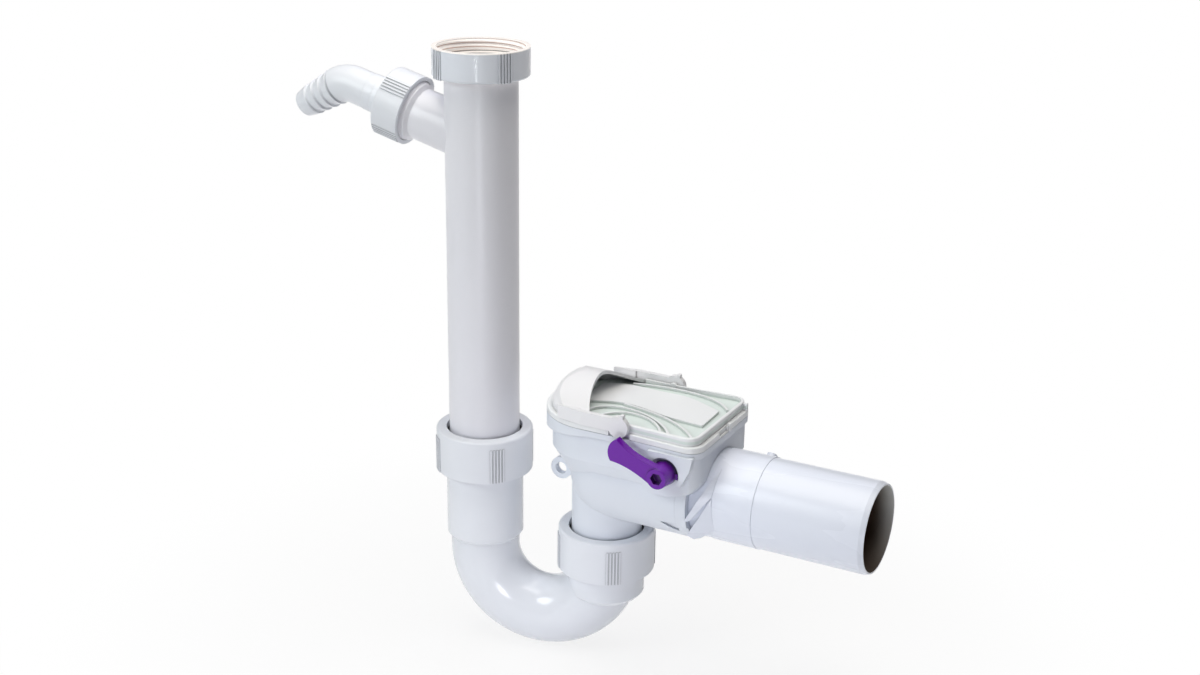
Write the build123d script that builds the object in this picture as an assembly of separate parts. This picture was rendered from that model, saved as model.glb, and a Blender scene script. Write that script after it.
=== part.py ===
from build123d import *
import math
import os

# Anti-backflow trap: inlet leg with a side hose tail, U-bend, and a non-return valve with a DN 50 outlet.
# Everything is drawn about the valve's riser (x = 0, y = 0) and the outlet's axis (z = 0), then
# shifted so that the origin is the centre of the outlet pipe's mouth. X runs out of the outlet, Z is up.

# Overall layout
OUTLET_REACH = 160.0       # riser axis to the outlet pipe's mouth
LEG_SPACING = 74.1         # inlet leg axis to riser axis
LEG_TURN = 10.4            # inlet leg swung towards the front, degrees
BEND_TOP = -59.0           # height where the two legs start to curve
INLET_TOP = 231.7          # top of the inlet nut
INLET_JOINT_TOP = 14.6     # top of the inlet trap nut
OUTLET_JOINT_TOP = -36.1   # top of the outlet trap nut

# Standard tubes
TUBE_R = 20.0              # 40 mm waste tube, outside
TUBE_WALL = 1.9
PIPE_R = 25.0              # 50 mm outlet pipe, outside
PIPE_WALL = 1.8
BEND_R = TUBE_R - 0.1       # moulded bend, outside
BEND_WALL = 2.15

# Clearances
SLIP = 0.4                 # a tube in its socket
FACE_GAP = 0.2             # two pieces that meet face to face
SWING_GAP = 0.4            # a moving piece beside a fixed one
RUN_FIT = 0.05             # a shaft in its bearing
PRESS_FIT = 0.02           # a pin that is pressed in, kept just clear
THREAD_GAP = 0.3           # nut thread over its socket, threads left plain
LOOSE = 0.1                # a fixed inner piece in its seat

# Compression joints of the U-bend
TRAP_NUT_R = TUBE_R + 7.5
TRAP_NUT_HEIGHT = 24.8
TRAP_NUT_FLANGE = 3.5
TRAP_NUT_HOLE = TUBE_R + 1.66
SOCKET_R = TUBE_R + 2.1
SOCKET_THREAD_R = TUBE_R + 3.8
SOCKET_THREAD_LENGTH = 16.0
SOCKET_FOOT = 2.6          # bevel under a socket
SOCKET_DROP = 3.3          # socket's lip below the nut's flange
INLET_SOCKET_DEPTH = 58.0
OUTLET_SOCKET_DEPTH = 15.5
OUTLET_SKIRT = 17.0        # outer socket wall carried down over the start of the curve
MOUTH_DEPTH = 5.0          # conical mouth that takes the wedge seal
MOUTH_FLARE = 2.0
SEAL_LIP = 3.2             # widest part of the wedge seal, outside the tube

# Ribs on the nuts
RIB_COUNT = 5
RIB_WIDTH = 0.9
RIB_PITCH = 1.75
RIB_HEIGHT = 0.5
RIB_ROOT = 0.6             # how far a rib runs into the nut
RIB_GROUPS = 4
TRAP_RIB_TURN = -54.0      # where a nut's first group of ribs stands, degrees
INLET_RIB_TURN = 40.0
BRANCH_RIB_TURN = 45.0
BRANCH_RIB_TOP = 1.0       # plain band above the branch nut's ribs
NUT_EDGE = 1.4             # rounding of a nut's shoulder
NUT_RIB_TOP = 4.6          # plain band above the ribs of a trap nut

# Inlet nut and its collar
INLET_NUT_R = TUBE_R + 6.4
INLET_NUT_HEIGHT = 15.8
INLET_NUT_FLANGE = 3.0
INLET_THREAD_R = TUBE_R + 3.9
INLET_RELIEF = 0.8         # thread relief round the collar and washer
COLLAR_THICK = 2.9
WASHER_THICK = 2.5
TAIL_INSERTION = 54.0      # tube end below the top of the inlet trap nut

# Side branch and hose tail
BRANCH_DROP = 51.2         # branch's axis below the top of the inlet nut
BRANCH_TURN = 3.65         # branch swung towards the front, degrees
BRANCH_RISE = 16.0         # branch above the horizontal, degrees
BRANCH_R = 14.3
BRANCH_SHOULDER = 2.5      # length of the stop ring behind the thread
BRANCH_WALL = 2.0
BRANCH_THREAD_R = BRANCH_R + 2.6
BRANCH_SHOULDER_R = BRANCH_R + 1.9
BRANCH_LENGTH = 53.0
BRANCH_THREAD_LENGTH = 10.0
BRANCH_NUT_LENGTH = 16.5
BRANCH_NUT_R = BRANCH_R + 5.1
BRANCH_NUT_FLANGE = 2.8
NOZZLE_R = 10.8
NOZZLE_BORE = 7.2
NOZZLE_COLLAR = 1.2
NOZZLE_STEPS = (6.5, 12.0) # faint steps, past the nut
NOZZLE_STEP = 0.3
NOZZLE_BEVEL = 0.4         # length of a step's slope
ELBOW_VERTEX = 28.3        # past the nut
ELBOW_RADIUS = 15.0
ELBOW_ANGLE = 45.0
BARB_COUNT = 4
BARB_PITCH = 5.6
BARB_R = 10.3
BARB_DROP = 1.1
BARB_SHRINK = 0.45
BARB_TIP = 3.4
BARB_ROOT = 1.0            # plain length before the first barb
BARB_LEAD = 0.6            # rise of a barb's front
TIP_ROUND = 1.2

# Valve housing
BARREL_R = PIPE_R + 2.5
BARREL_START = 7.5
BARREL_END = 62.0
BODY_WALL = 2.4
HEAD_R = BARREL_R + 3.5
HEAD_END = 70.0
HEAD_LOW = 15.0            # straight head wall starts here
FLARE_FOOT = -3.0          # and has shrunk to the riser here
HEAD_CORNER = 9.0
SIDE_SPREAD = 1.6          # the sides stand this much wider at the outlet end
SPREAD_START = 32.0
BODY_TOP = 35.0
FLANGE_R = HEAD_R + 3.4
FLANGE_END = HEAD_END + 1.6
FLANGE_THICK = 3.4
COLLAR_LOW = 25.8          # lip round the round end, lowest at the far left
COLLAR_SLOPE_END = 6.0
CHAMBER_HALF = HEAD_R + 3.5
CHAMBER_START = 39.0
CHAMBER_SIDE = ((0, 9.0), (11, 7.2), (21, 9.2), (28, 12.2), (31, 16.5))  # underside, from the start
RISER_FOOT = -56.5
BEAD_R = BARREL_R + 1.7
BEAD_LENGTH = 6.0
BEAD_HALF = 13.0           # the bead only stands under the hooks
SEAL_COVER = 1.0           # barrel wall outside the outlet seal
SEAL_CENTRE = 2.2          # outlet seal's middle from the barrel's end
SEAL_HALF = 1.4
POCKET = ((45.0, -13.5), (55.5, -12.0), (55.5, -18.2), (51.5, -17.1))
POCKET_DEPTH = 1.2
PIPE_INSERTION = 3.8
LUG_X = -TUBE_R - 9
LUG_Z = -7.0
LUG_R = 6.5
LUG_HOLE_R = 3.5
LUG_THICK = 4.0

# Flap, seat and their pin
HINGE_X = 24.0
HINGE_Z = BODY_TOP - 8
FLAP_TILT = 10.0           # degrees off vertical when shut
FLAP_DROP = 24.0           # hinge to the disc's centre
FLAP_R = PIPE_R - 4.5
FLAP_THICK = 2.5
FLAP_BACK = 0.8            # disc's back face past the hinge axis
SEAL_THICK = 1.5
FLAP_PAD = 2.0
FLAP_PAD_HALF = 5.0
FLAP_PAD_LOW = 4.0         # above the disc's centre
FLAP_PAD_TOP = 18.0
STIFFENER_HALF = 1.0
STIFFENER_END = 4.0        # stops this far inside the disc's rim
PORT_R = FLAP_R - 2.5
SEAT_THICK = 3.0
GASKET_THICK = 1.0
SEAT_STEP = 1.5
SEAT_TOP = BODY_TOP - 2.5
KNUCKLE_R = 3.0
FLAP_PIN_R = 1.5
KNUCKLE_IN = 5.0
KNUCKLE_OUT = 8.6
LUG_OUT = 12.4

# Shut-off spindle, cam and lever
SPINDLE_X = 52.5
SPINDLE_Z = BODY_TOP - 13.2
SPINDLE_R = 4.0
SPINDLE_BLIND = 3.2
ORING_R = 3.0
ORING_WIDTH = 1.8
CAM_HUB_R = 5.2
CAM_HALF_WIDTH = 4.0
CAM_NOSE_R = 2.0
LEVER_SWING = 45.0         # degrees from open to shut
LEVER_RISE = 23.5          # lever's tip above the horizontal at rest
LEVER_TOP_EDGE = ((9.3, 4.6), (18.6, 4.9), (27.0, 6.9))  # along from the hub, up
LEVER_TIP = (31.0, 1.0)
LEVER_LOW_EDGE = ((29.0, -6.3), (21.7, -4.5), (12.4, -4.2), (6.2, -5.1))  # and back to the hub
LEVER_HUB_R = 7.0          # at the housing
LEVER_NOSE_R = 5.6         # at the front
LEVER_FRONT = CHAMBER_HALF + 11.5
LEVER_STOP_R = 8.4
LEVER_STOP_THICK = 2.2
LEVER_ARM_THICK = 4.6
LEVER_SET_BACK = 0.6       # arm's face behind the hub's
HEX_FLATS = 6.0
HEX_DEPTH = 3.4
PAD_THICK = 3.0
PAD_TOP = BODY_TOP - 1.8
PAD_RECESS_R = LEVER_STOP_R + 0.5
PAD_START = 43.0
PAD_END = 69.0

# Cover
COVER_FLANGE = 3.2
RIM_HALF = FLANGE_R - 1.4
RIM_END = FLANGE_END - 2.4
RIM_TOP = BODY_TOP + 8
RIM_WIDTH = 1.8
RIM_ROUND = 0.7
PANEL_TOP = RIM_TOP - 2.5
PANEL_THICK = 1.8
BAND_HEIGHT = 1.5
COVER_RIB = 1.2
COVER_BAND = (
    ((-12, -11), (-6.6, -9.8), (5.7, -5.0), (22.1, -4.9), (37.4, -9.0), (50.7, -11.0), (62.6, -12.1)),
    ((61.8, 11.2), (50, 17), (37, 21.4), (22, 21.6), (2.2, 22.0), (-12, 17)),
)
COVER_RIBS = (
    ((12, -4.5), (37.4, -10.4), (50, -16.5), (60, -24.5), (65, -30)),
    ((-1.1, -20.8), (4.6, -12.8), (13.5, -9.9), (27, -12), (38, -17.5), (47, -25), (52, -31.5)),
    ((4, -31.5), (6.6, -27.8), (10.7, -20.9), (18.1, -15.4), (28.2, -15.2), (38.5, -20.5), (47, -31.5)),
    ((2.5, 24.9), (18, 28.5), (36, 29), (55.3, 23.8), (65, 15)),
)
LATCH_SLOT = (-9.0, 2.0)     # slot in the cover's outlet end
LATCH_DEPTH = 1.2
LATCH_FLOOR = 0.6
PEG = (3.2, 5.4)             # peg beside it
TAB = (27.0, 28.4)           # thin tab at the back corner
TAB_TOP = BODY_TOP + 7.5
SKIRT_DEPTH = 2.4
SKIRT_WALL = 1.5
GASKET_IN = FLANGE_R - 4.2
GASKET_OUT = FLANGE_R - 2.1
GROOVE_DEPTH = 0.9

# Locking bail
BAIL_X = 24.3
BAIL_Z = BODY_TOP + 6.6
BAIL_EYE_R = 6.0
BAIL_PIN_R = 2.4
BAIL_ARM = 3.0
BAIL_SKIN = 0.8            # closed outside of an eye
BAIL_PIN_LENGTH = BAIL_ARM - BAIL_SKIN
BAIL_ARM_TOP = BODY_TOP + 11.2
BAIL_TAPER = (-14.0, 2.0)   # an arm grows out of the hood between these stations
NIB = 2.0                  # small nib on top of an eye, which stops the open bail on the cover
NIB_OFFSET = 1.0           # past the eye's centre
HOOD_WALL = 2.0
HOOD_BASE_R = FLANGE_R - 0.4
HOOD_SHIFT = 3.1           # the dome's axis stands this far past the riser's
HOOD_BORDER = 3.2          # plain band at the foot of the hood
HOOD_WALL_LINE = ((0, 0), (1.4, 2.5), (3.4, 6.3), (6.5, 9.8), (11, 12.3), (18, 13.6))  # inwards, up
HOOD_VAULT_LINE = ((0, 0), (7, 1.2), (14, 4), (21, 7.5), (28, 11.1), (36, 15))  # sideways, down
HOOD_CUT_R = 54.0
HOOD_CUT_X = -4.8          # deepest point of the arched opening

# Outlet pipe's hooks
HOOK_R = PIPE_R + 6.6
HOOK_START = BARREL_END - 1
HOOK_END = BARREL_END + 15
HOOK_WALL = 2.4
HOOK_UPPER = ((15, 21), (1, -7), (4, -6), (14, 8))  # seen from the front: past the hooks' start, height
HOOK_LOWER = ((14, 7), (8, -5), (1.2, -16.5), (4, -20), (16, -13))
HOOK_ROOT = 0.6            # how far a hook runs into the pipe
HOOK_FOOT = 0.2            # and stands out of it at the foot
PIPE_CHAMFER = 0.9
SPIGOT_START = HOOK_END + 21  # the calibrated end of the outlet pipe runs from here
SPIGOT_STEP = 0.35         # the pipe is this much stouter behind it
LEAD_IN = 0.8              # inner lead-in at the valve end
CLIP_START = HOOK_END - 5
CLIP_LENGTH = 18.0
CLIP_WIDTH = 3.0
CLIP_ROOT = 1.0            # how far the clip runs into the pipe
CLIP_HEIGHT = 1.2
KNOB_HEIGHT = 3.4
CLIP_ANGLE = 40.0          # degrees above the horizontal, on the back

BASE = (Align.CENTER, Align.CENTER, Align.MIN)
LEG = Rot(0, 0, LEG_TURN) * Pos(-LEG_SPACING, 0, 0)
BRANCH = LEG * Pos(0, 0, INLET_TOP - BRANCH_DROP) * Rot(0, 0, BRANCH_TURN - LEG_TURN) * Rot(0, BRANCH_RISE - 90, 0)
FLAP_FRAME = Pos(HINGE_X, 0, HINGE_Z) * Rot(0, -FLAP_TILT, 0)
SPINDLE_FRAME = Pos(SPINDLE_X, 0, SPINDLE_Z) * Rot(90, 0, 0)

BRANCH_NUT_START = BRANCH_LENGTH - BRANCH_THREAD_LENGTH
BRANCH_NUT_END = BRANCH_NUT_START + BRANCH_NUT_LENGTH
TUBE_BORE = TUBE_R - TUBE_WALL
BEND_BORE = BEND_R - BEND_WALL
SOCKET_BORE = TUBE_R + SLIP
NUT_THREAD_R = SOCKET_THREAD_R + THREAD_GAP
BAIL_BASE = BODY_TOP + COVER_FLANGE + 2 * FACE_GAP
HOOD_RISE = HOOD_WALL_LINE[-1][1]
FLAP_FRONT = FLAP_BACK - FLAP_THICK
SEAT_FACE = FLAP_FRONT - SEAL_THICK - FACE_GAP
GASKET_FACE = SEAT_FACE - SEAT_THICK
STEP_FACE = GASKET_FACE - GASKET_THICK


def turned(*points):
    """Solid turned about Z from (radius, height) corners."""
    outline = Polyline(*[(r, 0, z) for r, z in points], close=True)
    return revolve(make_face(outline), Axis.Z, 360)


def rod(radius, low, high):
    """Round bar along Z between two heights."""
    return Pos(0, 0, low) * Cylinder(radius, high - low, align=BASE)


def across(radius, low, high):
    """Round bar along X between two stations."""
    return Pos(low, 0, 0) * Rot(0, 90, 0) * Cylinder(radius, high - low, align=BASE)


def block(x0, x1, y0, y1, z0, z1):
    """Box between two corners."""
    return Pos((x0 + x1) / 2, (y0 + y1) / 2, (z0 + z1) / 2) * Box(x1 - x0, y1 - y0, z1 - z0)


def ring(outer, inner, low, high):
    """Plain ring about Z."""
    return rod(outer, low, high) - rod(inner, low - 1, high + 1)


def plan(half, end, corner):
    """Plan of the housing: half round at the riser, wider and square with round corners at the outlet."""
    cut = corner * (1 - math.sqrt(0.5))
    wide = half + SIDE_SPREAD
    outline = [
        ThreePointArc((0, half), (-half, 0), (0, -half)),
        Line((0, -half), (SPREAD_START, -half)),
        Line((SPREAD_START, -half), (end - corner, -wide)),
        ThreePointArc((end - corner, -wide), (end - cut, cut - wide), (end, corner - wide)),
        Line((end, corner - wide), (end, wide - corner)),
        ThreePointArc((end, wide - corner), (end - cut, wide - cut), (end - corner, wide)),
        Line((end - corner, wide), (SPREAD_START, half)),
        Line((SPREAD_START, half), (0, half)),
    ]
    return make_face(outline)


def slab(half, end, corner, low, high):
    """The housing's plan raised between two heights."""
    return extrude(Pos(0, 0, low) * plan(half, end, corner), high - low)


def soft_slab(half, end, corner, low, high, rounding):
    """Slab of the housing's plan with its top edge rounded."""
    body = slab(half, end, corner, low, high)
    return fillet(body.edges().group_by(Axis.Z)[-1], rounding)


def ribbed_nut(outer, height, hole, thread, flange, rib_top, first):
    """Union nut, open at z = 0 and flanged at the top, with groups of grip ribs."""
    nut = rod(outer, 0, height)
    nut = fillet(nut.edges().group_by(Axis.Z)[-1], NUT_EDGE)
    depth = RIB_HEIGHT + RIB_ROOT
    pitch = math.degrees(RIB_PITCH / outer)
    bar = Pos(outer + RIB_HEIGHT - depth / 2, 0, 0) * Rectangle(depth, RIB_WIDTH)
    for group in range(RIB_GROUPS):
        for rib in range(RIB_COUNT):
            angle = first + group * 360 / RIB_GROUPS + (rib - (RIB_COUNT - 1) / 2) * pitch
            nut += extrude(Rot(0, 0, angle) * bar, height - rib_top)
    return nut - rod(thread, -1, height - flange) - rod(hole, height - flange - 1, height + 1)


def trap_nut(top):
    """Nut of a compression joint of the bend, about Z, with its flange's top at a height."""
    nut = ribbed_nut(TRAP_NUT_R, TRAP_NUT_HEIGHT, TRAP_NUT_HOLE, NUT_THREAD_R, TRAP_NUT_FLANGE,
                     NUT_RIB_TOP, TRAP_RIB_TURN)
    return Pos(0, 0, top - TRAP_NUT_HEIGHT) * nut


def wedge_seal(top):
    """Tapered ring between the tube, the socket's mouth and the nut's flange."""
    roof = top - TRAP_NUT_FLANGE - FACE_GAP
    lip = top - TRAP_NUT_FLANGE - SOCKET_DROP + FACE_GAP
    inner = TUBE_R + RUN_FIT
    tip = lip - MOUTH_DEPTH + 1
    return turned((inner, tip), (inner + 0.3, tip), (inner + MOUTH_FLARE, lip),
                  (inner + SEAL_LIP, lip), (inner + SEAL_LIP, roof), (inner, roof))


def socket_wall(top, foot):
    """Outside of a bend socket: threaded zone under the nut, plain wall, bevelled foot."""
    lip = top - TRAP_NUT_FLANGE - SOCKET_DROP
    thread = lip - SOCKET_THREAD_LENGTH
    return turned((0, lip), (SOCKET_THREAD_R, lip), (SOCKET_THREAD_R, thread), (SOCKET_R, thread - 1),
                  (SOCKET_R, foot), (BEND_R, foot - SOCKET_FOOT), (0, foot - SOCKET_FOOT))


def socket_bore(top, depth):
    """Inside of a bend socket with its conical mouth."""
    lip = top - TRAP_NUT_FLANGE - SOCKET_DROP
    return turned((0, lip + 1), (SOCKET_BORE + MOUTH_FLARE, lip + 1), (SOCKET_BORE + MOUTH_FLARE, lip),
                  (SOCKET_BORE, lip - MOUTH_DEPTH), (SOCKET_BORE, lip - depth), (0, lip - depth))


def bend_core(radius, inlet_top, outlet_top):
    """Round section carried down one leg, round the bend and up the other."""
    axis = Axis((-LEG_SPACING / 2, 0, BEND_TOP), (0, 1, 0))
    curve = revolve(Pos(0, 0, BEND_TOP) * Circle(radius), axis, 180)
    inlet = Pos(-LEG_SPACING, 0, 0) * rod(radius, BEND_TOP, inlet_top)
    return curve + rod(radius, BEND_TOP, outlet_top) + inlet


def trap_bend():
    """U-bend with a socket on each end, one moulding."""
    inlet_lip = INLET_JOINT_TOP - TRAP_NUT_FLANGE - SOCKET_DROP
    outlet_lip = OUTLET_JOINT_TOP - TRAP_NUT_FLANGE - SOCKET_DROP
    over = Pos(-LEG_SPACING, 0, 0)
    body = bend_core(BEND_R, inlet_lip - 2, outlet_lip - 2)
    body += over * socket_wall(INLET_JOINT_TOP, inlet_lip - INLET_SOCKET_DEPTH)
    body += socket_wall(OUTLET_JOINT_TOP, outlet_lip - OUTLET_SOCKET_DEPTH - OUTLET_SKIRT)
    body -= bend_core(BEND_BORE, inlet_lip + 1, outlet_lip + 1)
    body -= over * socket_bore(INLET_JOINT_TOP, INLET_SOCKET_DEPTH)
    body -= socket_bore(OUTLET_JOINT_TOP, OUTLET_SOCKET_DEPTH)
    return Rot(0, 0, LEG_TURN) * body


def tailpiece():
    """Inlet tube with its top collar and side branch, one moulding."""
    foot = INLET_JOINT_TOP - TAIL_INSERTION
    floor = INLET_TOP - INLET_NUT_HEIGHT + INLET_NUT_FLANGE + FACE_GAP
    top = floor + COLLAR_THICK
    tube = LEG * (rod(TUBE_R, foot, top) + rod(INLET_THREAD_R - 2 * FACE_GAP, floor, top))
    shoulder = BRANCH_NUT_START - BRANCH_SHOULDER
    arm = rod(BRANCH_R, 0, BRANCH_LENGTH)
    foot_of_ring = shoulder + BRANCH_R - BRANCH_SHOULDER_R
    arm += turned((0, foot_of_ring), (BRANCH_R, foot_of_ring), (BRANCH_SHOULDER_R, shoulder),
                  (BRANCH_SHOULDER_R, BRANCH_NUT_START), (0, BRANCH_NUT_START))
    arm += rod(BRANCH_THREAD_R, BRANCH_NUT_START, BRANCH_LENGTH)
    tube += BRANCH * arm
    tube -= BRANCH * rod(BRANCH_R - BRANCH_WALL, 0, BRANCH_LENGTH + 1)
    return tube - LEG * rod(TUBE_BORE, foot - 1, top + 1)


def inlet_nut():
    """Union nut at the inlet, open at the top."""
    nut = ribbed_nut(INLET_NUT_R, INLET_NUT_HEIGHT, TUBE_R + SLIP, INLET_THREAD_R, INLET_NUT_FLANGE, 0,
                     INLET_RIB_TURN)
    floor = INLET_NUT_HEIGHT - INLET_NUT_FLANGE
    nut -= rod(INLET_THREAD_R + INLET_RELIEF, floor - COLLAR_THICK - WASHER_THICK - 3 * FACE_GAP, floor)
    return LEG * Pos(0, 0, INLET_TOP) * Rot(180, 0, 0) * nut


def inlet_washer():
    """Flat washer on the tailpiece's collar."""
    low = INLET_TOP - INLET_NUT_HEIGHT + INLET_NUT_FLANGE + COLLAR_THICK + 2 * FACE_GAP
    return LEG * ring(INLET_THREAD_R - 2 * FACE_GAP, TUBE_BORE, low, low + WASHER_THICK)


def branch_nut():
    """Nut that clamps the hose tail on the branch."""
    nut = ribbed_nut(BRANCH_NUT_R, BRANCH_NUT_LENGTH, NOZZLE_R + SLIP, BRANCH_THREAD_R + THREAD_GAP,
                     BRANCH_NUT_FLANGE, BRANCH_RIB_TOP, BRANCH_RIB_TURN)
    return BRANCH * Pos(0, 0, BRANCH_NUT_START) * nut


def branch_washer():
    """Flat washer between the branch and the hose tail's collar."""
    low = BRANCH_LENGTH + LOOSE
    return BRANCH * ring(BRANCH_THREAD_R - FACE_GAP, BRANCH_R - BRANCH_WALL, low, washer_end())


def washer_end():
    """Station on the branch where its washer ends."""
    return BRANCH_NUT_END - BRANCH_NUT_FLANGE - NOZZLE_COLLAR - 2 * FACE_GAP


def barb_outline():
    """Radius and height corners of the barbed end, from the elbow to the tip."""
    corners = [(0, 0), (BARB_R - BARB_DROP, 0), (BARB_R - BARB_DROP, BARB_ROOT)]
    for barb in range(BARB_COUNT):
        crest = BARB_R - barb * BARB_SHRINK
        start = BARB_ROOT + barb * BARB_PITCH
        corners += [(crest, start + BARB_LEAD), (crest - BARB_DROP - BARB_SHRINK, start + BARB_PITCH)]
    end = BARB_ROOT + BARB_COUNT * BARB_PITCH + BARB_TIP
    tip = BARB_R - BARB_COUNT * BARB_SHRINK - BARB_DROP
    corners[-1] = (tip, end - TIP_ROUND)
    return corners + [(tip - TIP_ROUND / 2, end), (0, end)], end


def hose_nozzle():
    """Elbow hose tail: collar, stepped straight part, elbow and barbs."""
    bend_at = BRANCH_NUT_END + ELBOW_VERTEX - ELBOW_RADIUS * math.tan(math.radians(ELBOW_ANGLE / 2))
    low = washer_end() + FACE_GAP
    seat = low + NOZZLE_COLLAR
    first, second = [BRANCH_NUT_END + step for step in NOZZLE_STEPS]
    mid_r = NOZZLE_R - NOZZLE_STEP
    end_r = NOZZLE_R - 2 * NOZZLE_STEP
    body = turned((0, low), (BRANCH_THREAD_R - FACE_GAP, low), (BRANCH_THREAD_R - FACE_GAP, seat),
                  (NOZZLE_R, seat), (NOZZLE_R, first), (mid_r, first + NOZZLE_BEVEL), (mid_r, second),
                  (end_r, second + NOZZLE_BEVEL), (end_r, bend_at), (0, bend_at))
    axis = Axis((-ELBOW_RADIUS, 0, bend_at), (0, -1, 0))
    beyond = Pos(-ELBOW_RADIUS, 0, bend_at) * Rot(0, -ELBOW_ANGLE, 0) * Pos(ELBOW_RADIUS, 0, 0)
    outline, end = barb_outline()
    body += revolve(Pos(0, 0, bend_at) * Circle(end_r), axis, ELBOW_ANGLE)
    body += beyond * turned(*outline)
    body -= rod(NOZZLE_BORE, low - 1, bend_at)
    body -= revolve(Pos(0, 0, bend_at) * Circle(NOZZLE_BORE), axis, ELBOW_ANGLE)
    body -= beyond * rod(NOZZLE_BORE, -RUN_FIT, end + 1)
    return BRANCH * body


def head_form(inset, top):
    """Head of the valve in the round: straight wall above a flare that shrinks to the riser."""
    corner = HEAD_CORNER - inset
    upper = slab(HEAD_R - inset, HEAD_END - inset, corner, HEAD_LOW, top)
    shrink = HEAD_R - TUBE_R
    low_plan = Pos(0, 0, FLARE_FOOT) * plan(HEAD_R - inset - shrink, HEAD_END - inset - shrink, corner)
    high_plan = Pos(0, 0, HEAD_LOW) * plan(HEAD_R - inset, HEAD_END - inset, corner)
    return upper + loft([low_plan, high_plan], ruled=True)


def interior(inset, top):
    """Waterway of the valve, shrunk all round by an inset."""
    radius = BARREL_R - BODY_WALL - inset
    barrel = across(radius, BARREL_START, BARREL_END + 1) + Pos(BARREL_START, 0, 0) * Sphere(radius)
    return head_form(BODY_WALL + inset, top) + barrel


def downstream(face):
    """Half space on the outlet side of a plane of the flap's frame."""
    size = 4 * OUTLET_REACH
    return FLAP_FRAME * Pos(face + size / 2, 0, 0) * Box(size, size, size)


def seat_slab(low, high):
    """Inclined slab across the waterway between two planes of the flap's frame."""
    size = 4 * FLANGE_R
    return FLAP_FRAME * Pos((low + high) / 2, 0, 0) * Box(high - low, size, size)


def port(radius, low, high):
    """Round hole square to the seat."""
    return FLAP_FRAME * Pos(0, 0, -FLAP_DROP) * across(radius, low, high)


def chamber():
    """Deeper box round the spindle, with an underside that rises to the outlet end."""
    corners = [(CHAMBER_START + reach, height) for reach, height in CHAMBER_SIDE]
    top = BODY_TOP - FLANGE_THICK / 2
    side = [
        Line((CHAMBER_START, top), corners[0]),
        Spline(*corners),
        Line(corners[-1], (HEAD_END, top)),
        Line((HEAD_END, top), (CHAMBER_START, top)),
    ]
    box = extrude(Plane.XZ * make_face(side), CHAMBER_HALF, both=True)
    return box & slab(CHAMBER_HALF, HEAD_END, HEAD_CORNER, 0, BODY_TOP)


def pad():
    """Raised shroud on the chamber's front that guards the lever's hub."""
    corners = [(PAD_START, PAD_TOP), (PAD_END, PAD_TOP), (PAD_END - 1.5, SPINDLE_Z + 4),
               (SPINDLE_X + PAD_RECESS_R + 1, SPINDLE_Z - 6), (PAD_START + 1, SPINDLE_Z + 5)]
    shape = make_face(Polyline(*corners, close=True)) - Pos(SPINDLE_X, SPINDLE_Z) * Circle(PAD_RECESS_R)
    return Pos(0, -CHAMBER_HALF, 0) * extrude(Plane.XZ * shape, PAD_THICK)


def top_flange():
    """Flange that carries the cover, with a lip that deepens round the round end."""
    low = BODY_TOP - FLANGE_THICK
    side = Polyline((-FLANGE_R - 1, COLLAR_LOW), (COLLAR_SLOPE_END, low), (FLANGE_END + 1, low),
                    (FLANGE_END + 1, BODY_TOP), (-FLANGE_R - 1, BODY_TOP), close=True)
    wedge = extrude(Plane.XZ * make_face(side), FLANGE_R + SIDE_SPREAD + 1, both=True)
    return wedge & slab(FLANGE_R, FLANGE_END, HEAD_CORNER, COLLAR_LOW - 1, BODY_TOP)


def lug():
    """Fixing ear on the riser."""
    ear = Cylinder(LUG_R, LUG_THICK) + Pos(LUG_R, 0, 0) * Box(2 * LUG_R, LUG_R, LUG_THICK)
    return Pos(LUG_X, 0, LUG_Z) * Rot(90, 0, 0) * ear


def valve_body():
    """Riser, barrel, head and flange of the valve, one moulding."""
    body = rod(TUBE_R, RISER_FOOT, HEAD_LOW) + across(BARREL_R, BARREL_START, BARREL_END)
    body += Pos(BARREL_START, 0, 0) * Sphere(BARREL_R)
    body += head_form(0, BODY_TOP) + chamber() + pad() + top_flange() + lug()
    bead = across(BEAD_R, BARREL_END - BEAD_LENGTH, BARREL_END)
    body += bead & block(0, HEAD_END, -FLANGE_R, FLANGE_R, -BEAD_HALF, BEAD_HALF)
    pocket = extrude(Plane.XZ * make_face(Polyline(*POCKET, close=True)), FLANGE_R, both=True)
    body -= pocket - across(BARREL_R - POCKET_DEPTH, BARREL_START, BARREL_END)
    body -= rod(TUBE_BORE, RISER_FOOT - 1, 0)
    body -= interior(SEAT_STEP, BODY_TOP + 1)
    body -= interior(0, BODY_TOP + 1) & downstream(STEP_FACE)
    body -= slab(HEAD_R - BODY_WALL, HEAD_END - BODY_WALL, HEAD_CORNER - BODY_WALL, SEAT_TOP, BODY_TOP + 1)
    body -= across(PIPE_R + LOOSE, BARREL_END - PIPE_INSERTION - 1, HEAD_END + 10)
    body -= outlet_seal_zone(0)
    body -= gasket_ring(GASKET_IN - LOOSE, GASKET_OUT + LOOSE, BODY_TOP - GROOVE_DEPTH, BODY_TOP + 1)
    body -= Pos(LUG_X, 0, LUG_Z) * Rot(90, 0, 0) * Cylinder(LUG_HOLE_R, 2 * LUG_THICK)
    body -= spindle_bar(SPINDLE_R + RUN_FIT, -HEAD_R + BODY_WALL - SPINDLE_BLIND, CHAMBER_HALF + 1)
    return body


def gasket_ring(inner, outer, low, high):
    """Ring that follows the plan of the flange."""
    shift = FLANGE_R - inner
    hole = slab(inner, FLANGE_END - shift, HEAD_CORNER - 2, low - 1, high + 1)
    shift = FLANGE_R - outer
    return slab(outer, FLANGE_END - shift, HEAD_CORNER - 1, low, high) - hole


def cover_seal():
    """Gasket under the cover."""
    return gasket_ring(GASKET_IN, GASKET_OUT, BODY_TOP - GROOVE_DEPTH + 0.05, BODY_TOP + FACE_GAP - 0.05)


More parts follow.
